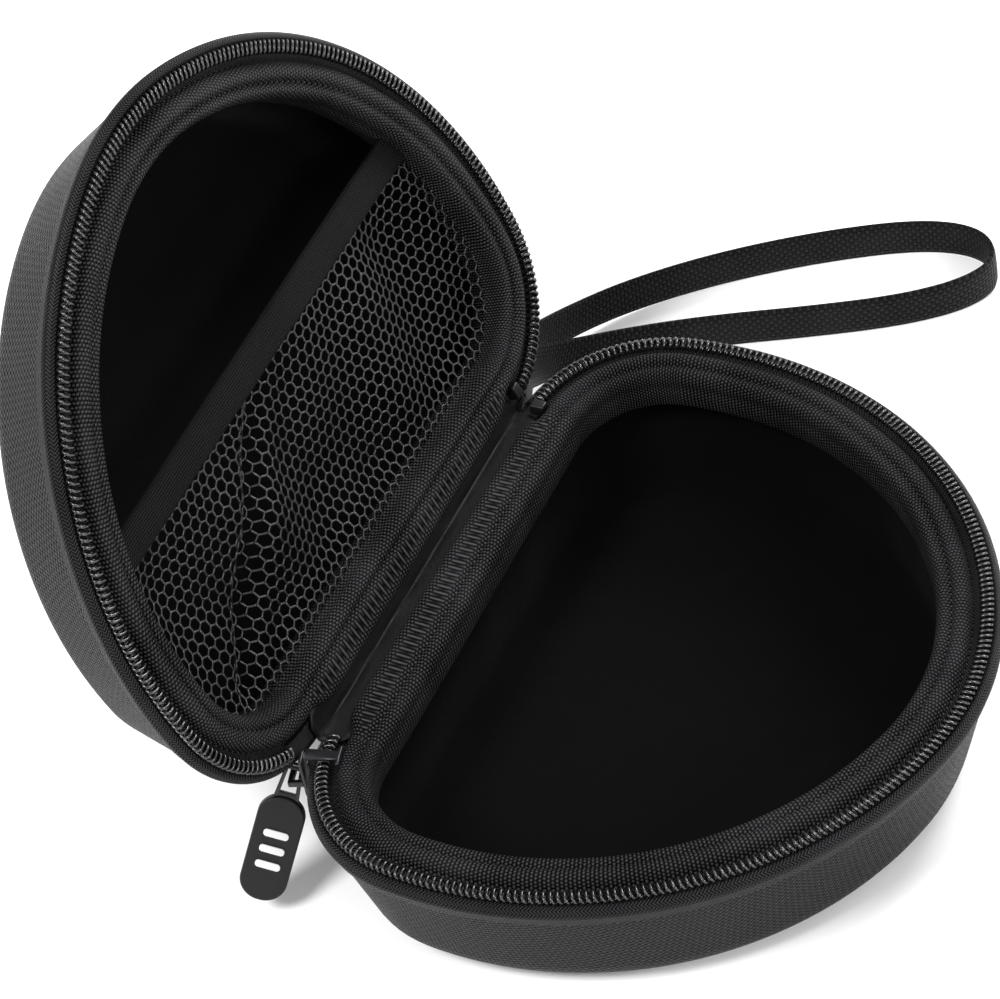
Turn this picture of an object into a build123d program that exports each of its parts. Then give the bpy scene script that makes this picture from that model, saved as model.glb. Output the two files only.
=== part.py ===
from build123d import *

import os
from math import atan2, cos, degrees, hypot, radians, sin, sqrt, tan

# Headphone carrying case: two moulded fabric shells on a soft hinge, closed by a coil zipper.
# Millimetres. X runs from the hinge to the nose of the case, Y along the hinge, Z up.
# The origin lies on the floor, under the middle of the base's flat bottom.
# The base lies flat and the lid stands open by open_angle, which is the stored pose.
# Each shell is drawn from its own rim plane: its Z goes into the shell, and "outset" means
# distance outwards from the zipper line.

# Whole case
hinge_x = -66.0
rim_height = 41.0
lid_depth = 35.5
open_angle = 112.5
base_taper = 15.6
lid_taper = 24.0
shell_corner = 12.5

# Zipper line, from the hinge axis: a straight hinge side, two corners, two long sides and a nose
back_x = 1.0
corner_radius = 32.0
side_radius = 92.0
side_x = 40.0
side_y = -7.0
nose_x = 67.0

# Wall of each shell, from the outside in
wall_top = 3.4
cover_outset = 2.5
cover_thickness = 1.0
core_thickness = 3.2
lining_thickness = 0.8
trim_foot = 13.0

# Zipper, with the stretch left free for the parked slider and the stops at its far end
coil_top = 0.75
coil_width = 3.2
coil_outset = -0.2
tape_foot = 8.5
lid_zip_cut = 20.0
stop_turn = 6.0

# Slider, parked near the front end of the hinge and drawn as (outset, height above the rim)
slider_turn = 14.0
slider_half_turn = 5.5
neck_half_turn = 2.5
plate_inner = 3.7
plate_outer = 4.5
plate_foot = -10.0
plate_shoulder = -3.6
slider_top = 1.1
neck_half_height = 0.45
inner_plate_outset = -4.5
inner_plate_foot = -2.9
bridge_half_turn = 4.5
bridge_leg_turn = 1.6
bridge_outset = 7.0
bridge_outer = 8.2
bridge_height = 1.6
pivot_height = -7.0

# Puller, hanging from the slider's bridge, leaning out from the wall and tipped sideways
puller_lean = 20.0
puller_tip = 24.0
link_top = 2.2
link_foot = -9.0
link_thickness = 1.2
tab_top = -5.5
tab_length = 26.6
tab_width = 10.8
tab_thickness = 2.6
grip_rows = 3
grip_thickness = 0.4

# Hinge strips
strip_half_length = 51.0
strip_thickness = 0.7

# Net pocket in the lid
net_depth = 6.5
net_thickness = 0.8
net_outset = -11.8
band_top_x = 71.0
band_width = 8.5
band_thickness = 1.6

# Wrist strap: both ends leave the anchor, and the loop stands on its edge on the floor
strap_width = 10.0
strap_thickness = 1.5
anchor_height = 10.8
anchor_centre_height = 30.8
strap_route = [
    (-70.3, 60.1, 30.8),
    (-74.2, 69.4, 29.8),
    (-79.6, 79.4, 24.0),
    (-83.0, 89.6, 14.0),
    (-81.0, 100.6, 7.4),
    (-70.4, 110.4, 5.3),
    (-51.4, 120.8, 5.2),
    (-29.0, 130.6, 5.2),
    (-9.0, 140.4, 5.2),
    (4.6, 150.6, 5.2),
    (9.0, 160.6, 5.2),
    (1.4, 168.6, 5.2),
    (-14.0, 167.2, 5.2),
    (-37.0, 156.0, 5.2),
    (-59.0, 141.6, 5.2),
    (-76.6, 126.2, 5.3),
    (-86.6, 110.6, 7.4),
    (-88.6, 94.6, 14.0),
    (-84.6, 81.4, 24.0),
    (-77.8, 69.8, 29.8),
    (-72.4, 59.4, 30.8),
]

# Worked-out points of the outline
nose_radius = side_radius - hypot(side_x - nose_x, side_y)
corner_x = back_x + corner_radius
corner_y = side_y + sqrt((side_radius - corner_radius) ** 2 - (side_x - corner_x) ** 2)
corner_end = degrees(atan2(corner_y - side_y, corner_x - side_x))
side_end = degrees(atan2(-side_y, nose_x - side_x))

lid_turn = radians(open_angle)
base_rim = Plane(origin=(hinge_x, 0, rim_height), x_dir=(1, 0, 0), z_dir=(0, 0, -1))
lid_rim = Plane(
    origin=(hinge_x, 0, rim_height),
    x_dir=(cos(lid_turn), 0, sin(lid_turn)),
    z_dir=(-sin(lid_turn), 0, cos(lid_turn)),
)

os.makedirs("parts", exist_ok=True)


def save(piece, name):
    piece.part.label = name
    export_step(piece.part, f"parts/{name}.step")


def rim_outline(plane, outset):
    """The closed outline at a distance outside the zipper line, as a face."""
    with BuildSketch(plane) as outline:
        with BuildLine():
            Line((back_x - outset, 0), (back_x - outset, corner_y))
            CenterArc((corner_x, corner_y), corner_radius + outset, 180, corner_end - 180)
            CenterArc((side_x, side_y), side_radius + outset, corner_end, side_end - corner_end)
            CenterArc((nose_x, 0), nose_radius + outset, side_end, -side_end)
            mirror(about=Plane.XZ)
        make_face()
    return outline.sketch


def tray(rim, outset, depth, taper, corner):
    """A solid dish below the wall's top edge, narrowing towards its rounded floor."""
    with BuildPart() as dish:
        extrude(rim_outline(rim.offset(wall_top), outset), amount=depth - wall_top, taper=taper)
        floor_face = dish.faces().sort_by(Axis(rim.origin, rim.z_dir))[-1]
        fillet(floor_face.edges(), corner)
    return dish.part


def rim_path(rim, start_cut=0.0, end_cut=0.0, closed=False):
    """The zipper line from one end of the hinge round the nose to the other, or the whole loop."""
    corner_turn = 180 - corner_end
    with BuildLine(rim) as path:
        CenterArc((corner_x, -corner_y), corner_radius, 180 + start_cut, corner_turn - start_cut)
        CenterArc((side_x, -side_y), side_radius, -corner_end, corner_end - side_end)
        CenterArc((nose_x, 0), nose_radius, -side_end, 2 * side_end)
        CenterArc((side_x, side_y), side_radius, side_end, corner_end - side_end)
        CenterArc((corner_x, corner_y), corner_radius, corner_end, corner_turn - end_cut)
        if closed:
            Line((back_x, corner_y), (back_x, -corner_y))
    return path.wires()[0]


def corner_section(rim, turn):
    """Plane across the zipper line, an angle round the corner that it starts from."""
    outward = rim.x_dir * -cos(radians(turn)) + rim.y_dir * -sin(radians(turn))
    centre = rim.from_local_coords(Vector(corner_x, -corner_y, 0))
    return Plane(origin=centre + outward * corner_radius, x_dir=outward, z_dir=outward.cross(rim.z_dir))


def swept(section_plane, points, path, rounding):
    """A band of one cross-section, drawn as (outset, depth) points, along a rim path."""
    with BuildPart() as band:
        with BuildSketch(section_plane) as section:
            Polygon(*points, align=None)
            fillet(section.vertices(), rounding)
        sweep(path=path)
    return band


def wall_outset(depth, taper):
    """Outset of a shell's outer face at a depth below the rim."""
    return cover_outset - tan(radians(taper)) * (depth - wall_top)


# The two shells: nylon cover, moulded foam core, velvet lining, knit trim, zipper tape and coil
layers = (("cover", cover_thickness), ("core", core_thickness), ("lining", lining_thickness))
wall_thickness = cover_thickness + core_thickness + lining_thickness
for half, rim, depth, taper, start_cut, end_cut in (
    ("base", base_rim, rim_height, base_taper, stop_turn, 0.0),
    ("lid", lid_rim, lid_depth, lid_taper, lid_zip_cut, stop_turn),
):
    inset = 0.0
    outer = tray(rim, cover_outset, depth, taper, shell_corner)
    for layer, thickness in layers:
        inset += thickness
        inner = tray(rim, cover_outset - inset, depth - inset, taper, shell_corner - inset)
        with BuildPart() as shell:
            add(outer)
            add(inner, mode=Mode.SUBTRACT)
        save(shell, f"{half}_{layer}")
        outer = inner

    zip_path = rim_path(rim, start_cut, end_cut)
    zip_section = corner_section(rim, start_cut)
    coil_inner = coil_outset - coil_width
    coil_foot = wall_top - 0.1
    coil_points = [
        (coil_inner, coil_top),
        (coil_outset, coil_top),
        (coil_outset, coil_foot),
        (coil_inner, coil_foot),
    ]
    save(swept(zip_section, coil_points, zip_path, 0.9), f"{half}_zip_coil")

    tape_points = [
        (0.0, 2.3),
        (0.8, 2.0),
        (3.3, 4.2),
        (wall_outset(tape_foot, taper) + 0.75, tape_foot),
        (wall_outset(tape_foot, taper) + 0.1, tape_foot),
        (cover_outset + 0.1, wall_top - 0.05),
        (0.0, wall_top - 0.05),
    ]
    save(swept(zip_section, tape_points, zip_path, 0.15), f"{half}_zip_tape")

    trim_points = [
        (-4.9, 1.7),
        (-6.3, 0.9),
        (-9.6, 1.0),
        (-11.2, 3.0),
        (-11.4, trim_foot),
        (wall_outset(trim_foot, taper) - wall_thickness - 0.1, trim_foot),
        (cover_outset - wall_thickness - 0.1, wall_top),
        (-4.9, wall_top - 0.2),
    ]
    save(swept(corner_section(rim, 0.0), trim_points, rim_path(rim, closed=True), 0.4), f"{half}_trim")


def corner_arc(rim, side, start_turn, end_turn):
    """A stretch of the zipper line round a hinge corner; side is 1 or -1 along the rim's Y."""
    with BuildLine(rim) as path:
        CenterArc(
            (corner_x, side * corner_y),
            corner_radius,
            180 - side * start_turn,
            -side * (end_turn - start_turn),
        )
    return path.wires()[0]


# A crimped stop on the far end of each coil, at the back end of the hinge
stop_points = [
    (coil_outset - coil_width - 0.2, coil_top - 0.2),
    (coil_outset + 0.1, coil_top - 0.2),
    (coil_outset + 0.1, wall_top - 0.05),
    (coil_outset - coil_width - 0.2, wall_top - 0.05),
]
for half, rim, side in (("base", base_rim, -1), ("lid", lid_rim, 1)):
    outward = rim.x_dir * -cos(radians(1.0)) + rim.y_dir * side * sin(radians(1.0))
    centre = rim.from_local_coords(Vector(corner_x, side * corner_y, 0))
    stop_section = Plane(
        origin=centre + outward * corner_radius, x_dir=outward, z_dir=outward.cross(rim.z_dir)
    )
    stop_path = corner_arc(rim, side, 1.0, stop_turn - 0.2)
    save(swept(stop_section, stop_points, stop_path, 0.4), f"{half}_zip_stop")


# Hinge strips: each bends round the hinge axis between a base wall and a lid wall
def lid_point(along, deep):
    """A point of the lid's rim frame, as (X, height above the rim) at the stored opening."""
    return (
        along * cos(lid_turn) - deep * sin(lid_turn),
        along * sin(lid_turn) + deep * cos(lid_turn),
    )


def hinge_strip(route, bend):
    """A strip of even thickness along the hinge, from its route across the hinge axis."""
    with BuildPart() as strip:
        with BuildSketch(Plane.XZ.offset(-strip_half_length)) as section:
            with BuildLine():
                FilletPolyline(*[(hinge_x + x, rim_height + z) for x, z in route], radius=bend)
            trace(line_width=strip_thickness)
        extrude(amount=2 * strip_half_length)
    return strip


inner_depth = wall_top - 0.65
inner_bend = (-inner_depth * (1 + cos(lid_turn)) / sin(lid_turn), -inner_depth)
inner_route = [(5.5, -inner_depth), inner_bend, lid_point(5.5, inner_depth)]
save(hinge_strip(inner_route, 0.8), "hinge_strip_inner")

outer_foot = 13.4
strip_gap = 0.45
outer_route = [
    (-wall_outset(outer_foot, base_taper) + back_x - strip_gap, -outer_foot),
    (-3.5, -4.8),
    lid_point(back_x - wall_outset(outer_foot, lid_taper) - strip_gap, outer_foot),
]
save(hinge_strip(outer_route, 2.0), "hinge_strip_outer")

# Net pocket: a thin panel across the hinge end of the lid, and the elastic band along its mouth
with BuildPart() as mesh_pocket:
    extrude(rim_outline(lid_rim.offset(net_depth), net_outset), amount=net_thickness)
    with BuildSketch(lid_rim.offset(net_depth)):
        with Locations((band_top_x - band_width + 100, 0)):
            Rectangle(200, 200)
    extrude(amount=net_thickness, mode=Mode.SUBTRACT)
save(mesh_pocket, "mesh_pocket")

with BuildPart() as pocket_band:
    extrude(rim_outline(lid_rim.offset(net_depth - 0.4), net_outset), amount=band_thickness)
    with BuildSketch(lid_rim.offset(net_depth - 0.4)):
        with Locations((band_top_x - band_width / 2, 0)):
            Rectangle(band_width - 0.1, 200)
    extrude(amount=band_thickness, mode=Mode.INTERSECT)
save(pocket_band, "pocket_band")


def slider_plane(turn):
    """Plane across the front corner of the base: X outwards, Y up from the rim."""
    outward = Vector(-cos(radians(turn)), -sin(radians(turn)), 0)
    centre = Vector(hinge_x + corner_x, -corner_y, rim_height)
    return Plane(origin=centre + outward * corner_radius, x_dir=outward, z_dir=outward.cross(Vector(0, 0, 1)))


corner_axis = Axis((hinge_x + corner_x, -corner_y, 0), (0, 0, 1))


def slider_block(outset, outer, foot, top, before, after):
    """A block bent round the corner, from one angle before the slider's middle to one after it."""
    with BuildPart() as block:
        with BuildSketch(slider_plane(slider_turn - before)):
            Polygon((outset, foot), (outer, foot), (outer, top), (outset, top), align=None)
        revolve(axis=corner_axis, revolution_arc=before + after)
    return block.part


lower_plate = slider_block(
    plate_inner, plate_outer, plate_foot, plate_shoulder, slider_half_turn, slider_half_turn
)
upper_plate = slider_block(
    plate_inner, plate_outer, plate_shoulder, slider_top, 0.5, slider_half_turn
)
neck = slider_block(
    inner_plate_outset, plate_inner, -neck_half_height, neck_half_height, neck_half_turn, neck_half_turn
)
inner_plate = slider_block(
    inner_plate_outset,
    -plate_inner,
    inner_plate_foot,
    neck_half_height,
    slider_half_turn,
    slider_half_turn,
)
with BuildPart() as slider_body:
    add(lower_plate)
    add(upper_plate)
    add(neck)
    add(inner_plate)
save(slider_body, "slider_body")

bridge_foot = pivot_height - bridge_height / 2
bridge_top = pivot_height + bridge_height / 2
gap_turn = bridge_half_turn - bridge_leg_turn
bridge_block = slider_block(
    plate_outer, bridge_outer, bridge_foot, bridge_top, bridge_half_turn, bridge_half_turn
)
with BuildPart() as slider_bridge:
    add(bridge_block)
    add(
        slider_block(plate_outer, bridge_outset, bridge_foot, bridge_top, gap_turn, gap_turn),
        mode=Mode.SUBTRACT,
    )
save(slider_bridge, "slider_bridge")

# Puller: its plane has X across the link and Y up the link, through the middle of the bridge's bar
lean = radians(puller_lean)
tip = radians(puller_tip)
radial = slider_plane(slider_turn)
pivot = radial.from_local_coords(Vector((bridge_outset + bridge_outer) / 2, pivot_height, 0))
link_across = radial.x_dir * cos(lean) + radial.y_dir * sin(lean)
link_up = (radial.y_dir * cos(lean) - radial.x_dir * sin(lean)) * cos(tip) + radial.z_dir * sin(tip)
puller_plane = Plane(origin=pivot, x_dir=link_across, z_dir=link_across.cross(link_up))

with BuildPart() as puller_link:
    with BuildSketch(puller_plane.offset(-link_thickness / 2)) as link_face:
        Polygon((-2.0, link_top), (2.0, link_top), (3.2, link_foot), (-3.2, link_foot), align=None)
        fillet(link_face.vertices(), 1.0)
        Polygon((-1.25, 1.45), (1.25, 1.45), (1.8, -4.6), (-1.8, -4.6), align=None, mode=Mode.SUBTRACT)
    extrude(amount=link_thickness)
save(puller_link, "puller_link")

with BuildPart() as pull_tab:
    with BuildSketch(puller_plane.offset(-tab_thickness / 2)):
        with Locations((0, tab_top - tab_length / 2)):
            RectangleRounded(tab_width, tab_length, tab_width / 2 - 0.2)
    extrude(amount=tab_thickness)
    fillet(pull_tab.faces().filter_by(puller_plane).edges(), 0.6)
    add(puller_link.part, mode=Mode.SUBTRACT)
save(pull_tab, "pull_tab")

# Raised grip bars on the tab's outer face
with BuildPart() as grip_bars:
    with BuildSketch(puller_plane.offset(-tab_thickness / 2 - grip_thickness)):
        for row in range(grip_rows):
            with Locations((0, tab_top - 9.3 - row * 4.0)):
                RectangleRounded(tab_width - 5.0, 1.8, 0.8)
    extrude(amount=grip_thickness)
save(grip_bars, "pull_tab_grip_bars")

# Strap anchor: a folded tab sewn to the back end of the hinge wall
with BuildPart() as strap_anchor:
    with BuildSketch(Plane.XY.offset(anchor_centre_height - anchor_height / 2)):
        with Locations((hinge_x, 0)):
            Polygon((-1.7, 51.6), (-1.7, 55.4), (-3.2, 59.9), (-7.2, 58.3), (-5.6, 51.6), align=None)
    extrude(amount=anchor_height)
save(strap_anchor, "strap_anchor")


def turn_radii(route):
    """The largest even arcs for a route: 0.45 of the shorter run over the tangent of half the turn."""
    points = [Vector(*point) for point in route]
    radii = []
    for before, here, after in zip(points, points[1:], points[2:]):
        turn = radians((here - before).get_angle(after - here))
        shorter = min((here - before).length, (after - here).length)
        radii.append(0.45 * shorter / tan(turn / 2))
    return radii


strap_radii = turn_radii(strap_route)
with BuildPart() as strap_webbing:
    with BuildLine() as strap_line:
        FilletPolyline(*strap_route, radius=strap_radii)
    strap_path = strap_line.wires()[0]
    strap_start = Plane(origin=strap_path @ 0, x_dir=(0, 0, 1), z_dir=strap_path % 0)
    with BuildSketch(strap_start):
        Rectangle(strap_width, strap_thickness)
    sweep(path=strap_path)
save(strap_webbing, "strap_webbing")
print("strap radii", [round(radius, 1) for radius in strap_radii])
print("strap length", round(strap_path.length, 1))
print("volume over section", round(strap_webbing.part.volume / strap_width / strap_thickness, 1))
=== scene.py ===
from math import asin, atan2, ceil, cos, hypot, pi, radians, sin, sqrt, tan

import bmesh
import bpy
from mathutils import Matrix, Vector, noise


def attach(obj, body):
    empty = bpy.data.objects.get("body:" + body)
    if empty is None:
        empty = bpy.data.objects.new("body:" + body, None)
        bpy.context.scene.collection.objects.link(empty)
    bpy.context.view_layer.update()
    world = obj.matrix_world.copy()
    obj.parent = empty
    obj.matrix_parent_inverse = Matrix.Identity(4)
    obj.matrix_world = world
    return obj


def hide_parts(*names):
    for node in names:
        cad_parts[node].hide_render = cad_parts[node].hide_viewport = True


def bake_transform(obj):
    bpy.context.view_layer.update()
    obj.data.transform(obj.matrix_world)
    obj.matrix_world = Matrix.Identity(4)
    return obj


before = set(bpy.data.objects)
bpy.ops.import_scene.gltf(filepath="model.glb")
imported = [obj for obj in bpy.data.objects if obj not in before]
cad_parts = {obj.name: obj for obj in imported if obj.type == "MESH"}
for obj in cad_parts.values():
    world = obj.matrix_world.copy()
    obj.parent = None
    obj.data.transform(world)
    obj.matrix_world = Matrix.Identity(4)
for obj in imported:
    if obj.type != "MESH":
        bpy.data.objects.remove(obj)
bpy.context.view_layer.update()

# Everything about the case is worked out in millimetres and placed in metres
mm = 0.001
rim = {"hingeX": -66.0, "height": 41.0, "openAngle": radians(112.5)}
line = {"backX": 1.0, "cornerRadius": 32.0, "sideRadius": 92.0, "sideX": 40.0, "sideY": -7.0, "noseX": 67.0}
wall = {"top": 3.4, "outset": 2.5, "cover": 1.0, "core": 3.2, "lining": 0.8, "corner": 12.5}
halves = {
    "base": {"depth": 41.0, "taper": radians(15.6)},
    "lid": {"depth": 35.5, "taper": radians(24.0)},
}
noseRadius = line["sideRadius"] - hypot(line["sideX"] - line["noseX"], line["sideY"])
cornerX = line["backX"] + line["cornerRadius"]
reach = line["sideRadius"] - line["cornerRadius"]
cornerY = line["sideY"] + sqrt(reach**2 - (line["sideX"] - cornerX) ** 2)
cornerEnd = atan2(cornerY - line["sideY"], cornerX - line["sideX"])
sideEnd = atan2(-line["sideY"], line["noseX"] - line["sideX"])


# --- placing and meshing helpers
def put(half, along, across, deep):
    # a point of a shell's own rim frame, in the row frame
    if half == "base":
        return Vector((rim["hingeX"] + along, across, rim["height"] - deep)) * mm
    turn = rim["openAngle"]
    x = rim["hingeX"] + along * cos(turn) - deep * sin(turn)
    z = rim["height"] + along * sin(turn) + deep * cos(turn)
    return Vector((x, across, z)) * mm


def rimStations(spacing, fromTurn=0.0, toTurn=0.0, closed=True):
    # the zipper line from the front end of the hinge round the nose to the back end
    turn = pi - cornerEnd
    arcs = [
        ((cornerX, -cornerY), line["cornerRadius"], pi + fromTurn, pi + turn),
        ((line["sideX"], -line["sideY"]), line["sideRadius"], -cornerEnd, -sideEnd),
        ((line["noseX"], 0.0), noseRadius, -sideEnd, sideEnd),
        ((line["sideX"], line["sideY"]), line["sideRadius"], sideEnd, cornerEnd),
        ((cornerX, cornerY), line["cornerRadius"], cornerEnd, pi - toTurn),
    ]
    stations = []
    travelled = 0.0
    for centre, radius, start, end in arcs:
        length = radius * (end - start)
        count = max(2, ceil(length / spacing))
        for step in range(count):
            angle = start + (end - start) * step / count
            normal = (cos(angle), sin(angle))
            point = (centre[0] + radius * normal[0], centre[1] + radius * normal[1])
            stations.append((point, normal, travelled + length * step / count))
        travelled += length
    if closed:
        count = ceil(2 * cornerY / spacing)
        for step in range(count):
            side = cornerY - 2 * cornerY * step / count
            stations.append(((line["backX"], side), (-1.0, 0.0), travelled + cornerY - side))
    else:
        angle = pi - toTurn
        normal = (cos(angle), sin(angle))
        point = (cornerX + line["cornerRadius"] * normal[0], cornerY + line["cornerRadius"] * normal[1])
        stations.append((point, normal, travelled))
    return stations


def newPiece(name, mesh, body, slotName, material, *nodes):
    piece = bpy.data.objects.new(name, mesh)
    bpy.context.scene.collection.objects.link(piece)
    mesh.materials.clear()
    mesh.materials.append(material)
    if body:
        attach(piece, body)
    if nodes:
        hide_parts(*nodes)
    return piece


def closeMesh(bm, name, smooth=True):
    # one clean closed mesh with its faces outwards
    bmesh.ops.recalc_face_normals(bm, faces=bm.faces)
    mesh = bpy.data.meshes.new(name)
    bm.to_mesh(mesh)
    bm.free()
    mesh.shade_smooth() if smooth else mesh.shade_flat()
    return mesh


def addGrid(bm, rows, uvRows, closedRows, closedColumns):
    # rows of points joined into quads, with a UV for every corner
    uvLayer = bm.loops.layers.uv.verify()
    verts = [[bm.verts.new(point) for point in row] for row in rows]
    rowCount = len(rows) if closedRows else len(rows) - 1
    columnCount = len(rows[0]) if closedColumns else len(rows[0]) - 1
    for i in range(rowCount):
        nextRow = (i + 1) % len(rows)
        for j in range(columnCount):
            nextColumn = (j + 1) % len(rows[0])
            corners = ((i, j), (nextRow, j), (nextRow, nextColumn), (i, nextColumn))
            face = bm.faces.new([verts[a][b] for a, b in corners])
            wrapped = ((i, j), (i + 1, j), (i + 1, j + 1), (i, j + 1))
            for loop, (a, b) in zip(face.loops, wrapped):
                loop[uvLayer].uv = uvRows(a, b)
    return verts


def roundedLoop(points, rounds=2):
    # corner cutting on a closed profile
    for _ in range(rounds):
        cut = []
        for here, after in zip(points, points[1:] + points[:1]):
            cut.append(tuple(0.75 * a + 0.25 * b for a, b in zip(here, after)))
            cut.append(tuple(0.25 * a + 0.75 * b for a, b in zip(here, after)))
        points = cut
    return points


def profileRun(profile):
    run = [0.0]
    for here, after in zip(profile, profile[1:] + profile[:1]):
        run.append(run[-1] + hypot(after[0] - here[0], after[1] - here[1]))
    return run


def band(name, half, profile, stations, closed, wobble=None):
    # a closed profile of (outset, depth) carried along the zipper line
    bm = bmesh.new()
    run = profileRun(profile)
    rows = []
    for point, normal, travelled in stations:
        row = []
        for outset, deep in profile:
            if wobble:
                outset, deep = wobble(outset, deep, point, travelled)
            row.append(put(half, point[0] + normal[0] * outset, point[1] + normal[1] * outset, deep))
        rows.append(row)
    total = stations[-1][2] + (stations[-1][2] - stations[-2][2] if closed else 0.0)

    def uvAt(a, b):
        along = total if a == len(stations) else stations[a][2]
        return (along * 0.01, run[b] * 0.01)

    verts = addGrid(bm, rows, uvAt, closed, True)
    if not closed:
        bm.faces.new(list(reversed(verts[0])))
        bm.faces.new(verts[-1])
    return closeMesh(bm, name)


def wallOutset(half, deep):
    return wall["outset"] - tan(halves[half]["taper"]) * (deep - wall["top"])


def trayProfile(half, inset, corner):
    # (outset, depth) from the wall's top edge down to where the flat floor starts
    taper = halves[half]["taper"]
    depth = halves[half]["depth"] - inset
    top = wall["top"]
    foot = wall["outset"] - inset - tan(taper) * (depth - top)
    reachIn = corner * tan((pi / 2 - taper) / 2)
    centre = (foot - reachIn, depth - corner)
    points = []
    wallFoot = (centre[0] + corner * cos(taper), centre[1] + corner * sin(taper))
    start = (wall["outset"] - inset, top)
    for step in range(8):
        share = step / 8
        points.append(tuple(a + (b - a) * share for a, b in zip(start, wallFoot)))
    for step in range(9):
        angle = (pi / 2 - taper) * (1 - step / 8)
        points.append((centre[0] + corner * sin(angle), centre[1] + corner * cos(angle)))
    return points


def shellLayer(name, half, inset, thickness, spacing=3.0, ripple=0.0):
    # a moulded layer: outer skin down to the floor's centre, inner skin back up, joined at the rim
    stations = rimStations(spacing)
    middle = (58.0, 0.0)
    bm = bmesh.new()
    uvLayer = bm.loops.layers.uv.verify()
    rings = []
    for layerInset in (inset, inset + thickness):
        profile = trayProfile(half, layerInset, wall["corner"] - layerInset)
        floorOutset, floorDeep = profile[-1]
        distance = [0.0]
        for here, after in zip(profile[::-1], profile[::-1][1:]):
            distance.append(distance[-1] + hypot(after[0] - here[0], after[1] - here[1]))
        distance = distance[::-1]
        skin = []
        for (outset, deep), away in zip(profile, distance):
            ring = []
            for point, normal, travelled in stations:
                shake = 0.0
                if ripple and deep > wall["top"] + 1.0:
                    shake = ripple * noise.noise(Vector((point[0], point[1], deep)) * 0.09)
                x = point[0] + normal[0] * (outset + shake)
                y = point[1] + normal[1] * (outset + shake)
                spread = floorOutset + away
                uv = ((point[0] + normal[0] * spread) * 0.01, (point[1] + normal[1] * spread) * 0.01)
                ring.append((bm.verts.new(put(half, x, y, deep)), uv))
            skin.append(ring)
        for share in (0.85, 0.7, 0.55, 0.4, 0.25, 0.12):
            ring = []
            for point, normal, travelled in stations:
                edge = (point[0] + normal[0] * floorOutset, point[1] + normal[1] * floorOutset)
                x = middle[0] + (edge[0] - middle[0]) * share
                y = middle[1] + (edge[1] - middle[1]) * share
                lift = ripple * noise.noise(Vector((x, y, 7.0)) * 0.06)
                ring.append((bm.verts.new(put(half, x, y, floorDeep - abs(lift))), (x * 0.01, y * 0.01)))
            skin.append(ring)
        centre = (bm.verts.new(put(half, middle[0], middle[1], floorDeep)), (middle[0] * 0.01, 0.0))
        rings.append((skin, centre))

    def addFace(corners):
        face = bm.faces.new([corner[0] for corner in corners])
        for loop, corner in zip(face.loops, corners):
            loop[uvLayer].uv = corner[1]

    count = len(stations)
    for skin, centre in rings:
        for upper, lower in zip(skin, skin[1:]):
            for i in range(count):
                after = (i + 1) % count
                addFace((upper[i], lower[i], lower[after], upper[after]))
        for i in range(count):
            addFace((skin[-1][i], centre, skin[-1][(i + 1) % count]))
    for i in range(count):
        after = (i + 1) % count
        addFace((rings[0][0][0][i], rings[0][0][0][after], rings[1][0][0][after], rings[1][0][0][i]))
    return closeMesh(bm, name)


# --- shader pieces
def addNode(tree, kind, **values):
    made = tree.nodes.new(kind)
    for name, value in values.items():
        setattr(made, name, value)
    return made


def maths(tree, operation, first, second=None, third=None):
    made = addNode(tree, "ShaderNodeMath", operation=operation)
    for socket, value in zip(made.inputs, (first, second, third)):
        if value is None:
            continue
        if isinstance(value, (int, float)):
            socket.default_value = value
        else:
            tree.links.new(value, socket)
    return made.outputs[0]


def startGroup(name, inputs, outputs):
    tree = bpy.data.node_groups.new(name, "ShaderNodeTree")
    for socketName, kind, value in inputs:
        socket = tree.interface.new_socket(name=socketName, in_out="INPUT", socket_type=kind)
        if value is not None:
            socket.default_value = value
    for socketName, kind in outputs:
        tree.interface.new_socket(name=socketName, in_out="OUTPUT", socket_type=kind)
    return tree, addNode(tree, "NodeGroupInput"), addNode(tree, "NodeGroupOutput")


def weaveGroup():
    # square yarn pillows, every other one turned: basket weave
    tree, source, sink = startGroup(
        "basketWeave",
        [("Vector", "NodeSocketVector", None), ("Cells", "NodeSocketFloat", 90.0)],
        [("Height", "NodeSocketFloat"), ("Mask", "NodeSocketFloat")],
    )
    axes = addNode(tree, "ShaderNodeSeparateXYZ")
    tree.links.new(source.outputs["Vector"], axes.inputs[0])
    x = maths(tree, "MULTIPLY", axes.outputs[0], source.outputs["Cells"])
    y = maths(tree, "MULTIPLY", axes.outputs[1], source.outputs["Cells"])
    cellSum = maths(tree, "ADD", maths(tree, "FLOOR", x), maths(tree, "FLOOR", y))
    parity = maths(tree, "FLOORED_MODULO", cellSum, 2.0)
    pillowX = maths(tree, "ABSOLUTE", maths(tree, "SINE", maths(tree, "MULTIPLY", x, pi)))
    pillowY = maths(tree, "ABSOLUTE", maths(tree, "SINE", maths(tree, "MULTIPLY", y, pi)))
    pillow = maths(tree, "POWER", maths(tree, "MULTIPLY", pillowX, pillowY), 0.8)
    yarnX = maths(tree, "SINE", maths(tree, "MULTIPLY", x, 6 * pi))
    yarnY = maths(tree, "SINE", maths(tree, "MULTIPLY", y, 6 * pi))
    flipped = maths(tree, "SUBTRACT", 1.0, parity)
    yarn = maths(tree, "ADD", maths(tree, "MULTIPLY", yarnX, parity), maths(tree, "MULTIPLY", yarnY, flipped))
    height = maths(tree, "ADD", pillow, maths(tree, "MULTIPLY", yarn, 0.12))
    tree.links.new(height, sink.inputs["Height"])
    # painted glint: pillow crests and every other cell lighter, the gaps darker, put into the base colour
    mask = maths(tree, "ADD", maths(tree, "MULTIPLY", parity, 0.5), maths(tree, "MULTIPLY", pillow, 0.5))
    tree.links.new(mask, sink.inputs["Mask"])
    return tree


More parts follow.
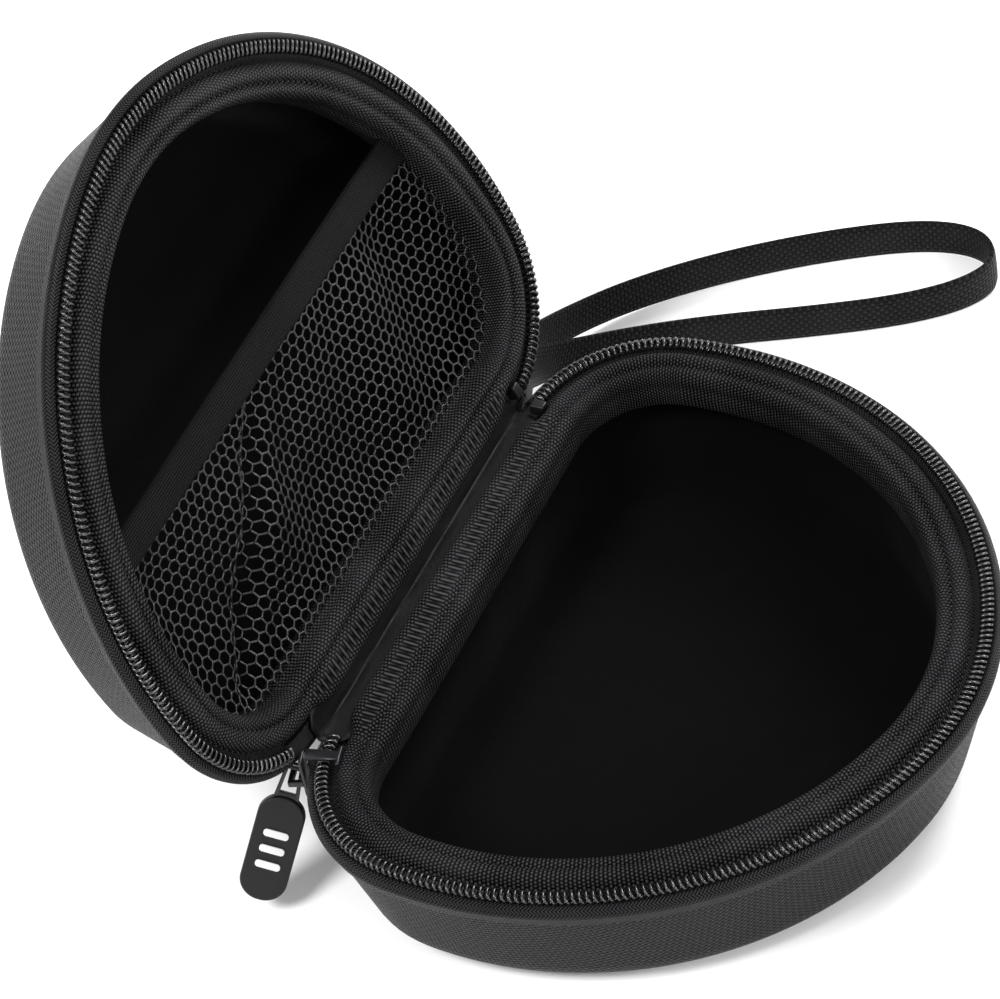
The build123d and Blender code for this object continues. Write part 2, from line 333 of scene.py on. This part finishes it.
def ribGroup():
    # fine ribs across the length, broken by short yarn steps
    tree, source, sink = startGroup(
        "knitRibs",
        [("Vector", "NodeSocketVector", None), ("Ribs", "NodeSocketFloat", 110.0),
         ("Steps", "NodeSocketFloat", 90.0)],
        [("Height", "NodeSocketFloat"), ("Mask", "NodeSocketFloat")],
    )
    axes = addNode(tree, "ShaderNodeSeparateXYZ")
    tree.links.new(source.outputs["Vector"], axes.inputs[0])
    x = maths(tree, "MULTIPLY", axes.outputs[0], source.outputs["Ribs"])
    y = maths(tree, "MULTIPLY", axes.outputs[1], source.outputs["Steps"])
    column = maths(tree, "FLOOR", x)
    ribs = maths(tree, "ABSOLUTE", maths(tree, "SINE", maths(tree, "MULTIPLY", x, pi)))
    shifted = maths(tree, "ADD", y, maths(tree, "MULTIPLY", column, 0.5))
    steps = maths(tree, "ABSOLUTE", maths(tree, "SINE", maths(tree, "MULTIPLY", shifted, pi)))
    height = maths(tree, "ADD", maths(tree, "MULTIPLY", ribs, 0.7), maths(tree, "MULTIPLY", steps, 0.3))
    tree.links.new(height, sink.inputs["Height"])
    # painted glint: rib and step crests lighter, the grooves darker, put into the base colour
    tree.links.new(maths(tree, "MULTIPLY", ribs, steps), sink.inputs["Mask"])
    return tree


def herringboneGroup():
    # slanted yarns that turn back every few steps across the tape
    tree, source, sink = startGroup(
        "herringbone",
        [("Vector", "NodeSocketVector", None), ("Yarns", "NodeSocketFloat", 120.0),
         ("Turns", "NodeSocketFloat", 55.0)],
        [("Height", "NodeSocketFloat"), ("Mask", "NodeSocketFloat")],
    )
    axes = addNode(tree, "ShaderNodeSeparateXYZ")
    tree.links.new(source.outputs["Vector"], axes.inputs[0])
    y = maths(tree, "MULTIPLY", axes.outputs[1], source.outputs["Turns"])
    zigzag = maths(tree, "PINGPONG", y, 0.5)
    x = maths(tree, "MULTIPLY", axes.outputs[0], source.outputs["Yarns"])
    slanted = maths(tree, "ADD", x, maths(tree, "MULTIPLY", zigzag, 2.4))
    height = maths(tree, "ABSOLUTE", maths(tree, "SINE", maths(tree, "MULTIPLY", slanted, pi)))
    tree.links.new(height, sink.inputs["Height"])
    # painted glint: yarn crests lighter, the grooves darker, put into the base colour
    tree.links.new(maths(tree, "POWER", height, 2.0), sink.inputs["Mask"])
    return tree


def wearGroup():
    # two sizes of noise for patchy colour, lint and fine grain
    tree, source, sink = startGroup(
        "patchiness",
        [("Vector", "NodeSocketVector", None), ("Patches", "NodeSocketFloat", 60.0),
         ("Grain", "NodeSocketFloat", 2500.0)],
        [("Patch", "NodeSocketFloat"), ("Grain", "NodeSocketFloat")],
    )
    for socketName, detail in (("Patches", 3.0), ("Grain", 2.0)):
        texture = addNode(tree, "ShaderNodeTexNoise")
        texture.inputs["Detail"].default_value = detail
        tree.links.new(source.outputs["Vector"], texture.inputs["Vector"])
        tree.links.new(source.outputs[socketName], texture.inputs["Scale"])
        tree.links.new(texture.outputs[0], sink.inputs["Patch" if socketName == "Patches" else "Grain"])
    return tree


groups = {"weave": weaveGroup(), "ribs": ribGroup(), "herringbone": herringboneGroup(), "patch": wearGroup()}


def finish(name, dark, light, rough, pattern=None, patternValues=None, bump=0.3, depth=0.0002, grain=0.15,
           sheen=0.0, metallic=0.0, coat=0.0, specular=0.5, patches=60.0, grainScale=2500.0):
    material = bpy.data.materials.new(name)
    material.use_nodes = True
    tree = material.node_tree
    shader = tree.nodes["Principled BSDF"]
    place3d = addNode(tree, "ShaderNodeTexCoord")
    patch = addNode(tree, "ShaderNodeGroup", node_tree=groups["patch"])
    patch.inputs["Patches"].default_value = patches
    patch.inputs["Grain"].default_value = grainScale
    tree.links.new(place3d.outputs["Object"], patch.inputs["Vector"])
    mixing = maths(tree, "MULTIPLY", patch.outputs["Patch"], 0.45)
    height = maths(tree, "MULTIPLY", patch.outputs["Grain"], grain)
    if pattern:
        design = addNode(tree, "ShaderNodeGroup", node_tree=groups[pattern])
        for key, value in (patternValues or {}).items():
            design.inputs[key].default_value = value
        tree.links.new(place3d.outputs["UV"], design.inputs["Vector"])
        # the pattern's painted glint lightens the base colour on yarn crests and darkens the gaps
        mixing = maths(tree, "ADD", mixing, maths(tree, "MULTIPLY", design.outputs["Mask"], 0.6))
        height = maths(tree, "ADD", height, design.outputs["Height"])
    ramp = addNode(tree, "ShaderNodeValToRGB")
    ramp.color_ramp.elements[0].position = 0.28
    ramp.color_ramp.elements[0].color = (*dark, 1.0)
    ramp.color_ramp.elements[1].position = 0.86
    ramp.color_ramp.elements[1].color = (*light, 1.0)
    tree.links.new(mixing, ramp.inputs[0])
    tree.links.new(ramp.outputs[0], shader.inputs["Base Color"])
    roughness = maths(tree, "ADD", maths(tree, "MULTIPLY", patch.outputs["Patch"], 0.16), rough - 0.08)
    tree.links.new(roughness, shader.inputs["Roughness"])
    relief = addNode(tree, "ShaderNodeBump")
    relief.inputs["Strength"].default_value = bump
    relief.inputs["Distance"].default_value = depth
    tree.links.new(height, relief.inputs["Height"])
    tree.links.new(relief.outputs[0], shader.inputs["Normal"])
    shader.inputs["Metallic"].default_value = metallic
    shader.inputs["Specular IOR Level"].default_value = specular
    shader.inputs["Sheen Weight"].default_value = sheen
    shader.inputs["Sheen Roughness"].default_value = 0.4
    shader.inputs["Coat Weight"].default_value = coat
    return material


finishes = {
    "nylon": finish(
        "nylonWeave", (0.0008, 0.0008, 0.001), (0.03, 0.03, 0.032), 0.34, "weave", {"Cells": 84.0},
        bump=1.0, depth=0.0009, specular=0.045,
    ),
    "foam": finish("foam", (0.01, 0.01, 0.01), (0.02, 0.02, 0.02), 0.9, specular=0.1),
    "velvet": finish(
        "velvet", (0.0012, 0.0012, 0.0014), (0.0055, 0.0055, 0.006), 0.95, grain=0.8, bump=0.6,
        depth=0.0003, sheen=0.06, specular=0.04, grainScale=1400.0,
    ),
    "trim": finish(
        "ribbedKnit", (0.0006, 0.0006, 0.0008), (0.045, 0.045, 0.048), 0.36, "ribs",
        {"Ribs": 100.0, "Steps": 112.0}, bump=1.0, depth=0.0009, specular=0.07,
    ),
    "coil": finish(
        "coilNylon", (0.006, 0.006, 0.007), (0.02, 0.02, 0.021), 0.24, specular=0.75, grain=0.05,
    ),
    "tape": finish(
        "herringboneTape", (0.001, 0.001, 0.0012), (0.026, 0.026, 0.028), 0.42, "herringbone", {},
        bump=1.0, depth=0.0005, specular=0.08,
    ),
    "stop": finish("fusedStop", (0.005, 0.005, 0.005), (0.014, 0.014, 0.015), 0.35, specular=0.35),
    "leatherette": finish(
        "leatherette", (0.0015, 0.0015, 0.0018), (0.008, 0.008, 0.009), 0.5, grain=1.0, bump=0.5,
        depth=0.00015, specular=0.18, grainScale=900.0,
    ),
    "net": finish(
        "netYarn", (0.008, 0.008, 0.009), (0.06, 0.06, 0.063), 0.34, grain=0.6, bump=0.4, specular=0.5,
        patches=400.0,
    ),
    "elastic": finish(
        "ribbedElastic", (0.0015, 0.0015, 0.0018), (0.011, 0.011, 0.012), 0.5, "ribs",
        {"Ribs": 150.0, "Steps": 120.0}, bump=0.8, depth=0.0005, specular=0.05,
    ),
    "metal": finish(
        "paintedZinc", (0.015, 0.015, 0.017), (0.05, 0.05, 0.054), 0.33, metallic=0.5, grain=0.1,
        bump=0.15, coat=0.15, specular=0.4,
    ),
    "rubber": finish(
        "mouldedRubber", (0.004, 0.004, 0.0045), (0.012, 0.012, 0.013), 0.5, grain=0.3, bump=0.2,
        specular=0.28,
    ),
    "mark": finish("raisedMark", (0.6, 0.6, 0.6), (0.78, 0.78, 0.78), 0.5, grain=0.1, bump=0.1),
    "webbing": finish(
        "webbingWeave", (0.001, 0.001, 0.0012), (0.03, 0.03, 0.032), 0.4, "weave", {"Cells": 96.0},
        bump=1.0, depth=0.0008, specular=0.06,
    ),
}
print("finishes ready")

# --- camera and wrist strap first
camera = bpy.data.objects.new("camera", bpy.data.cameras.new("camera"))
bpy.context.scene.collection.objects.link(camera)
camera.data.lens = 180.0
camera.data.sensor_width = 36.0
camera.data.clip_end = 10.0
view = {"azimuth": radians(32.946), "elevation": radians(44.866), "roll": radians(-11.726)}
flat = cos(view["elevation"])
back = Vector((sin(view["azimuth"]) * flat, -cos(view["azimuth"]) * flat, sin(view["elevation"])))
right = (-back).cross(Vector((0, 0, 1))).normalized()
up = right.cross(-back)
cameraX = right * cos(view["roll"]) + up * sin(view["roll"])
cameraY = -right * sin(view["roll"]) + up * cos(view["roll"])
turned = Matrix((cameraX, cameraY, back)).transposed().to_4x4()
camera.matrix_world = Matrix.Translation((0.382985, -0.658215, 0.848660)) @ turned
bpy.context.scene.camera = camera

strap = {"width": 10.0, "thickness": 1.4, "edge": 0.35}
strapRoute = [
    (-70.3, 60.1, 30.8), (-74.2, 69.4, 29.8), (-79.6, 79.4, 24.0), (-83.0, 89.6, 14.0), (-81.0, 100.6, 7.4),
    (-70.4, 110.4, 5.3), (-51.4, 120.8, 5.2), (-29.0, 130.6, 5.2), (-9.0, 140.4, 5.2), (4.6, 150.6, 5.2),
    (9.0, 160.6, 5.2), (1.4, 168.6, 5.2), (-14.0, 167.2, 5.2), (-37.0, 156.0, 5.2), (-59.0, 141.6, 5.2),
    (-76.6, 126.2, 5.3), (-86.6, 110.6, 7.4), (-88.6, 94.6, 14.0), (-84.6, 81.4, 24.0), (-77.8, 69.8, 29.8),
    (-72.4, 59.4, 30.8),
]


def routeLine(points):
    # one smooth NURBS spline through the strap's route, read back as points
    curve = bpy.data.curves.new("strapRoute", "CURVE")
    curve.dimensions = "3D"
    curve.resolution_u = 12
    spline = curve.splines.new("NURBS")
    spline.points.add(len(points) - 1)
    for target, point in zip(spline.points, points):
        target.co = (*(Vector(point) * mm), 1.0)
    spline.order_u = 3
    spline.use_endpoint_u = True
    holder = bpy.data.objects.new("strapRoute", curve)
    bpy.context.scene.collection.objects.link(holder)
    bpy.context.view_layer.update()
    mesh = bpy.data.meshes.new_from_object(holder)
    found = [vertex.co.copy() for vertex in mesh.vertices]
    bpy.data.meshes.remove(mesh)
    bpy.data.objects.remove(holder)
    return found


strapLine = routeLine(strapRoute)


def makeStrap():
    halfWide = strap["width"] * mm / 2
    halfThick = strap["thickness"] * mm / 2
    edge = strap["edge"] * mm
    section = []  # (across the width, through the thickness)
    for side in (1, -1):
        for step in range(9):
            share = 1 - 2 * step / 8
            thin = edge * abs(share) ** 6
            section.append((side * share * halfWide, side * (halfThick - thin)))
    bm = bmesh.new()
    rows = []
    runs = [0.0]
    for here, after in zip(strapLine, strapLine[1:]):
        runs.append(runs[-1] + (after - here).length)
    for i, point in enumerate(strapLine):
        ahead = strapLine[min(i + 1, len(strapLine) - 1)]
        behind = strapLine[max(i - 1, 0)]
        forward = (ahead - behind).normalized()
        wide = (Vector((0, 0, 1)) - forward * forward.z).normalized()
        through = forward.cross(wide)
        rows.append([point + wide * a + through * b for a, b in section])
    across = profileRun([(a / mm, b / mm) for a, b in section])
    verts = addGrid(bm, rows, lambda a, b: (runs[a] / mm * 0.01, across[b] * 0.01), False, True)
    bm.faces.new(list(reversed(verts[0])))
    bm.faces.new(verts[-1])
    mesh = closeMesh(bm, "wristStrap")
    piece = newPiece("wristStrap", mesh, "base", "webbing", finishes["webbing"], "strap_webbing")
    return piece


makeStrap()

# --- shells: moulded cover, hidden core, velvet lining
for half in ("base", "lid"):
    cover = shellLayer(f"{half}Cover", half, 0.0, wall["cover"])
    newPiece(f"{half}Cover", cover, half, "nylon", finishes["nylon"], f"{half}_cover")
    liningInset = wall["cover"] + wall["core"]
    lining = shellLayer(f"{half}Lining", half, liningInset, wall["lining"], spacing=4.0, ripple=0.5)
    newPiece(f"{half}Lining", lining, half, "velvet", finishes["velvet"], f"{half}_lining")
    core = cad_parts[f"{half}_core"]
    core.data.materials.clear()
    core.data.materials.append(finishes["foam"])
print("shells ready")


# --- padded knit trims, zipper tapes and coils
def makeTrim(half):
    taper = halves[half]["taper"]
    foot = 13.0
    inner = wallOutset(half, foot) - 5.15
    profile = roundedLoop([
        (-3.9, 3.3), (-4.0, 2.0), (-4.9, 0.75), (-6.4, 0.35), (-7.7, 0.8), (-8.3, 1.9), (-8.9, 1.3),
        (-10.2, 0.9), (-11.5, 1.8), (-12.0, 3.6), (-11.7, 5.4), (-12.1, 7.2), (-12.0, 9.5), (-11.6, 12.0),
        (inner - 0.5, foot),
        (inner, foot - 0.5), (-2.7 - tan(taper) * 1.0, 4.5), (-2.7, 3.45),
    ])

    def wobble(outset, deep, point, travelled):
        swell = noise.noise(Vector((point[0], point[1], 3.0 * len(half))) * 0.05)
        near = min(1.0, max(0.0, (cornerY - abs(point[1])) / 8.0)) * (point[0] < line["backX"] + 0.02)
        if deep < 3.4 and outset > -7.0:
            # along the hinge the trim runs right up to the fold
            outset += 3.1 * near * near * (3.0 - 2.0 * near)
        if outset > -4.0 or deep > 12.0:
            return outset, deep
        return outset + 0.25 * swell, deep - 0.3 * swell * (deep < 4.0)

    mesh = band(f"{half}Trim", half, profile, rimStations(1.6), True, wobble)
    trim = newPiece(f"{half}Trim", mesh, half, "knit_trim", finishes["trim"], f"{half}_trim")


def makeTape(half, fromTurn, toTurn):
    foot = 8.5
    profile = roundedLoop([
        (-3.5, 3.36), (-3.5, 3.24), (0.9, 3.2), (1.3, 2.5), (1.8, 2.45), (2.6, 3.2), (3.2, 4.6),
        (wallOutset(half, 6.3) + 0.85, 6.3), (wallOutset(half, foot) + 0.7, foot),
        (wallOutset(half, foot) + 0.1, foot),
        (wallOutset(half, 5.0) + 0.1, 5.0), (2.55, 3.3), (0.5, 3.36),
    ], 1)
    mesh = band(f"{half}ZipTape", half, profile, rimStations(2.0, fromTurn, toTurn, False), False)
    newPiece(f"{half}ZipTape", mesh, half, "zip_tape", finishes["tape"], f"{half}_zip_tape")


def flattened(value):
    return (1 if value > 0 else -1) * abs(value) ** 0.72


def makeCoil(half, fromTurn, toTurn):
    # one long nylon spring, flattened, whose turns lean along the zipper line
    pitch = 1.55
    sides = 5
    steps = 12
    thick = 0.36
    stations = rimStations(0.5, fromTurn, toTurn, False)
    total = stations[-1][2]
    turns = int(total / pitch)
    bm = bmesh.new()
    bm.loops.layers.uv.verify()
    centres = []
    index = 0
    for step in range(turns * steps + 1):
        angle = 2 * pi * step / steps
        lean = 0.28 * pitch * sin(angle)
        travelled = min(max(pitch * step / steps + lean, 0.0), total - 0.01)
        while index + 2 < len(stations) and stations[index + 1][2] < travelled:
            index += 1
        while index > 0 and stations[index][2] > travelled:
            index -= 1
        here, after = stations[index], stations[index + 1]
        share = (travelled - here[2]) / max(1e-6, after[2] - here[2])
        normal = [here[1][k] + (after[1][k] - here[1][k]) * share for k in (0, 1)]
        point = [here[0][k] + (after[0][k] - here[0][k]) * share for k in (0, 1)]
        outset = -0.55 + (1.7 - thick) * flattened(cos(angle))
        deep = 2.0 + (1.25 - thick) * flattened(sin(angle))
        centres.append(put(half, point[0] + normal[0] * outset, point[1] + normal[1] * outset, deep))
    rings = []
    for i, centre in enumerate(centres):
        forward = (centres[min(i + 1, len(centres) - 1)] - centres[max(i - 1, 0)]).normalized()
        side = lastSide - forward * lastSide.dot(forward) if rings else forward.orthogonal()
        side = side.normalized()
        lastSide = side
        other = forward.cross(side)
        ring = []
        for k in range(sides):
            angle = 2 * pi * k / sides
            ring.append(bm.verts.new(centre + (side * cos(angle) + other * sin(angle)) * thick * mm))
        rings.append(ring)
    for upper, lower in zip(rings, rings[1:]):
        for k in range(sides):
            bm.faces.new((upper[k], lower[k], lower[(k + 1) % sides], upper[(k + 1) % sides]))
    bm.faces.new(list(reversed(rings[0])))
    bm.faces.new(rings[-1])
    mesh = closeMesh(bm, f"{half}ZipCoil")
    newPiece(f"{half}ZipCoil", mesh, half, "coil", finishes["coil"], f"{half}_zip_coil")


zipSpan = {"base": (0.0, radians(6.0)), "lid": (radians(20.0), radians(6.0))}
for half in ("base", "lid"):
    makeTrim(half)
    makeTape(half, *zipSpan[half])
    makeCoil(half, *zipSpan[half])
print("trims and zipper ready")


# --- hinge strips: leatherette inside, nylon outside, each bent round the hinge axis
def lidPoint(along, deep):
    turn = rim["openAngle"]
    return along * cos(turn) - deep * sin(turn), along * sin(turn) + deep * cos(turn)


def bentLine(points, bend, count=10):
    # a polyline of (x, height) with its middle corner rounded
    start, corner, end = (Vector(point) for point in points)
    toStart = (start - corner).normalized()
    toEnd = (end - corner).normalized()
    half = acosSafe(toStart.dot(toEnd)) / 2
    cut = min(bend / tan(half), 0.8 * min((start - corner).length, (end - corner).length))
    first = corner + toStart * cut
    last = corner + toEnd * cut
    found = [start + (first - start) * step / 4 for step in range(4)]
    for step in range(count + 1):
        share = step / count
        a = first.lerp(corner, share)
        b = corner.lerp(last, share)
        found.append(a.lerp(b, share))
    found += [last + (end - last) * (step + 1) / 4 for step in range(4)]
    return found


def acosSafe(value):
    return pi / 2 - asin(max(-1.0, min(1.0, value)))


def makeStrip(name, points, bend, thickness, span, slotName, material, node, pinch=0.0):
    route = bentLine(points, bend)
    bm = bmesh.new()
    count = 46
    normals = []
    runs = [0.0]
    for i, point in enumerate(route):
        ahead = route[min(i + 1, len(route) - 1)]
        behind = route[max(i - 1, 0)]
        forward = (ahead - behind).normalized()
        normals.append(Vector((-forward.y, forward.x)))
        if i:
            runs.append(runs[-1] + (point - behind).length)
    rows = []
    for step in range(count + 1):
        y = span[0] + (span[1] - span[0]) * step / count
        near = min(step, count - step) / count
        narrow = 1.0 - pinch * max(0.0, 1.0 - near * 24) ** 2
        row = []
        for side in (1, -1):
            order = range(len(route)) if side > 0 else range(len(route) - 1, -1, -1)
            for i in order:
                middle = route[len(route) // 2]
                at = middle + (route[i] - middle) * narrow
                pucker = 0.12 * noise.noise(Vector((y * 0.22, i * 0.3, 1.0)))
                at = at + normals[i] * (side * thickness / 2 + pucker)
                row.append(Vector((rim["hingeX"] + at.x, y, rim["height"] + at.y)) * mm)
        rows.append(row)
    width = len(route)

    def uvAt(a, b):
        across = runs[b] if b < width else runs[-1] + runs[-1] - runs[max(0, 2 * width - 1 - b)]
        return ((span[1] - span[0]) * a / count * 0.01, across * 0.01)

    verts = addGrid(bm, rows, uvAt, False, True)
    bm.faces.new(list(reversed(verts[0])))
    bm.faces.new(verts[-1])
    mesh = closeMesh(bm, name)
    strip = newPiece(name, mesh, None, slotName, material, node)
    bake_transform(strip)
    return strip


innerDepth = 2.75
innerBend = (-innerDepth * (1 + cos(rim["openAngle"])) / sin(rim["openAngle"]), -innerDepth)
innerRoute = [(5.5, -innerDepth), innerBend, lidPoint(5.5, innerDepth)]
makeStrip("hingeStripInner", innerRoute, 0.9, 0.6, (-54.5, 52.0), "leatherette", finishes["leatherette"],
          "hinge_strip_inner", 0.5)
outerFoot = 13.4
outerRoute = [
    (line["backX"] - wallOutset("base", outerFoot) - 0.45, -outerFoot), (-3.5, -4.8),
    lidPoint(line["backX"] - wallOutset("lid", outerFoot) - 0.45, outerFoot),
]
makeStrip("hingeStripOuter", outerRoute, 2.4, 0.8, (-51.0, 51.0), "nylon", finishes["nylon"],
          "hinge_strip_outer")
print("hinge strips ready")

# --- net pocket in the lid
net = {"depth": 6.9, "outset": -11.2, "mouth": 64.0, "cell": 3.0, "yarnWide": 0.7, "yarnThick": 0.3}


def lidHalfWidth(along, outset):
    # how far the rim outline reaches across the lid at a distance from the hinge
    radius = line["cornerRadius"] + outset
    if along < cornerX + radius * cos(cornerEnd):
        return cornerY + sqrt(max(0.0, radius**2 - (along - cornerX) ** 2))
    radius = line["sideRadius"] + outset
    if along < line["sideX"] + radius * cos(sideEnd):
        return line["sideY"] + sqrt(radius**2 - (along - line["sideX"]) ** 2)
    radius = noseRadius + outset
    return sqrt(max(0.0, radius**2 - (along - line["noseX"]) ** 2))


def netRelief(along, across):
    # the loose net: one deep diagonal pleat, soft waves, and a sag away from its sewn edges
    start, end = Vector((59.0, -10.0)), Vector((15.0, -62.0))
    direction = (end - start).normalized()
    offset = Vector((along, across)) - start
    away = offset.x * direction.y - offset.y * direction.x
    pleat = 3.4 * 2.718 ** (-((away / 3.2) ** 2)) - 1.2 * 2.718 ** (-(((away - 6.5) / 4.0) ** 2))
    wave = 1.1 * sin(across / 9.0 + along / 26.0) + 0.7 * sin(across / 4.6 - along / 15.0)
    sideEdge = min(1.0, max(0.0, (lidHalfWidth(along, net["outset"]) - abs(across)) / 10.0))
    edge = sideEdge * min(1.0, max(0.0, (along - 13.0) / 8.0))
    mouth = min(1.0, max(0.0, (net["mouth"] - along) / 10.0))
    loose = 1.6 * noise.noise(Vector((along * 0.05, across * 0.05, 4.0)))
    return net["depth"] + edge * (0.35 + 0.65 * mouth) * (pleat + wave + loose + 1.6)


def gathered(along, across):
    # yarns crowd together along the pleat and towards the hinge's front corner
    start, end = Vector((59.0, -10.0)), Vector((15.0, -62.0))
    direction = (end - start).normalized()
    offset = Vector((along, across)) - start
    away = offset.x * direction.y - offset.y * direction.x
    pull = 2.3 * away * 2.718 ** (-((away / 6.5) ** 2)) / 6.5
    swirl = 0.5 * noise.noise(Vector((along * 0.09, across * 0.09, 9.0)))
    return along + direction.y * -pull + swirl, across + direction.x * pull + 0.6 * swirl


def makeNet():
    cell = net["cell"]
    edge = cell / sqrt(3)
    points = {}
    edges = set()

    def corner(x, y):
        key = (round(x * 20), round(y * 20))
        points[key] = (x, y)
        return key

    columns = range(-27, 28)
    rows = range(2, 30)
    for column in columns:
        for row in rows:
            cx = row * cell * 0.866 * 1.0
            cy = column * cell + (row % 2) * cell / 2
            keys = [corner(cx + edge * cos(pi / 3 * k), cy + edge * sin(pi / 3 * k)) for k in range(6)]
            for first, second in zip(keys, keys[1:] + keys[:1]):
                edges.add((min(first, second), max(first, second)))
    bm = bmesh.new()

    def inside(x, y):
        return 12.5 < x < net["mouth"] and abs(y) < lidHalfWidth(x, net["outset"])

    halfWide, halfThick = net["yarnWide"] / 2, net["yarnThick"] / 2
    for first, second in sorted(edges):
        ends = []
        (ax, ay), (bx, by) = points[first], points[second]
        if not inside((ax + bx) / 2, (ay + by) / 2):
            continue
        for x, y in ((ax, ay), (bx, by)):
            gx, gy = gathered(x, y)
            ends.append(put("lid", gx, gy, netRelief(x, y)))
        forward = (ends[1] - ends[0]).normalized()
        facing = (put("lid", 0, 0, -1) - put("lid", 0, 0, 0)).normalized()
        side = forward.cross(facing).normalized()
        facing = side.cross(forward)
        rings = []
        for share, wide in ((-0.08, 1.0), (0.3, 0.8), (0.7, 0.8), (1.08, 1.0)):
            at = ends[0].lerp(ends[1], share)
            rings.append([
                bm.verts.new(at + (side * a * halfWide * wide + facing * b * halfThick) * mm)
                for a, b in ((-1, -0.6), (1, -0.6), (0.75, 1), (-0.75, 1))
            ])
        for upper, lower in zip(rings, rings[1:]):
            for k in range(4):
                bm.faces.new((upper[k], lower[k], lower[(k + 1) % 4], upper[(k + 1) % 4]))
        bm.faces.new(rings[0][::-1])
        bm.faces.new(rings[-1])
    return closeMesh(bm, "netPocket")


netMesh = makeNet()
netPiece = newPiece("netPocket", netMesh, "lid", "net", finishes["net"], "mesh_pocket")


def makeBand():
    # the elastic along the pocket's mouth, folded over the net's edge
    low, high = 62.3, 70.8
    section = roundedLoop([
        (low, 6.2), (low + 0.3, 5.7), (low + 3.2, 5.45), (high - 0.4, 5.7), (high, 6.1), (high + 0.1, 7.1),
        (high - 0.5, 7.6),
        (low + 3.2, 7.5), (low, 7.2),
    ], 1)
    run = profileRun(section)
    bm = bmesh.new()
    count = 80
    rows = []
    for step in range(count + 1):
        share = 2 * step / count - 1
        row = []
        for along, deep in section:
            reachOut = lidHalfWidth(along, -10.4)
            sag = 1.0 * (1 - share**2) + 0.35 * noise.noise(Vector((share * 5, 2.0, 1.0)))
            row.append(put("lid", along - 1.2 * (1 - share**2) * 0.4, share * reachOut, deep + sag))
        rows.append(row)
    verts = addGrid(bm, rows, lambda a, b: (run[b] * 0.01, 1.4 * a / count), False, True)
    bm.faces.new(list(reversed(verts[0])))
    bm.faces.new(verts[-1])
    mesh = closeMesh(bm, "pocketBand")
    return newPiece("pocketBand", mesh, "lid", "elastic", finishes["elastic"], "pocket_band")


bandPiece = makeBand()


# --- hard parts: copies of the CAD solids, merged, with softened edges
def softened(name, node, body, material, width, segments=2):
    bpy.ops.object.select_all(action="DESELECT")
    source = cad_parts[node]
    copy = bpy.data.objects.new(name, source.data.copy())
    bpy.context.scene.collection.objects.link(copy)
    copy.matrix_world = source.matrix_world.copy()
    bpy.context.view_layer.update()
    bpy.context.view_layer.objects.active = copy
    copy.select_set(True)
    bpy.ops.object.transform_apply(location=True, rotation=True, scale=True)
    bpy.ops.object.mode_set(mode="EDIT")
    bpy.ops.mesh.select_all(action="SELECT")
    bpy.ops.mesh.remove_doubles(threshold=0.000005)
    bpy.ops.mesh.dissolve_limited(angle_limit=radians(2.0))
    bpy.ops.object.mode_set(mode="OBJECT")
    if width:
        bevel = copy.modifiers.new("soften", "BEVEL")
        bevel.width = width * mm
        bevel.segments = segments
        bevel.limit_method = "ANGLE"
        bevel.angle_limit = radians(35)
        bpy.ops.object.modifier_apply(modifier="soften")
    bpy.ops.object.shade_smooth_by_angle(angle=radians(40))
    copy.data.materials.clear()
    copy.data.materials.append(material)
    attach(copy, body)
    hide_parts(node)
    copy.select_set(False)
    return copy


softened("sliderBody", "slider_body", "slider", finishes["metal"], 0.22)
softened("sliderBridge", "slider_bridge", "slider", finishes["metal"], 0.25)
softened("pullerLink", "puller_link", "puller", finishes["metal"], 0.2)
softened("pullTab", "pull_tab", "puller", finishes["rubber"], 0.0)
softened("pullTabGripBars", "pull_tab_grip_bars", "puller", finishes["mark"], 0.12)
softened("strapAnchor", "strap_anchor", "base", finishes["webbing"], 0.6, 3)
for half in ("base", "lid"):
    softened(f"{half}ZipStop", f"{half}_zip_stop", half, finishes["stop"], 0.2)
print("hard parts ready")

# --- floor, light, view transform
bpy.ops.mesh.primitive_plane_add(size=6.0, location=(0, 0, -0.0002))
ground = bpy.context.object
ground.name = "floor"
paper = bpy.data.materials.new("paleFloor")
paper.use_nodes = True
paper.node_tree.nodes["Principled BSDF"].inputs["Base Color"].default_value = (0.9, 0.9, 0.9, 1)
paper.node_tree.nodes["Principled BSDF"].inputs["Roughness"].default_value = 0.9
ground.data.materials.append(paper)

world = bpy.data.worlds.new("studio")
bpy.context.scene.world = world
world.use_nodes = True
world.node_tree.nodes["Background"].inputs[0].default_value = (1, 1, 1, 1)
world.node_tree.nodes["Background"].inputs[1].default_value = 0.9


def softLight(name, location, target, size, power):
    lamp = bpy.data.lights.new(name, "AREA")
    lamp.shape = "DISK"
    lamp.size = size
    lamp.energy = power
    holder = bpy.data.objects.new(name, lamp)
    bpy.context.scene.collection.objects.link(holder)
    direction = Vector(target) - Vector(location)
    holder.location = location
    holder.rotation_euler = direction.to_track_quat("-Z", "Y").to_euler()


softLight("keyLight", (-0.35, -0.9, 1.3), (0, 0, 0.03), 0.5, 22.0)
softLight("rimLight", (0.2, 1.1, 0.9), (0, 0, 0.05), 0.6, 16.0)
softLight("sideLight", (1.2, -0.2, 0.8), (0, 0, 0.03), 0.5, 10.0)
bpy.context.scene.view_settings.view_transform = "Standard"
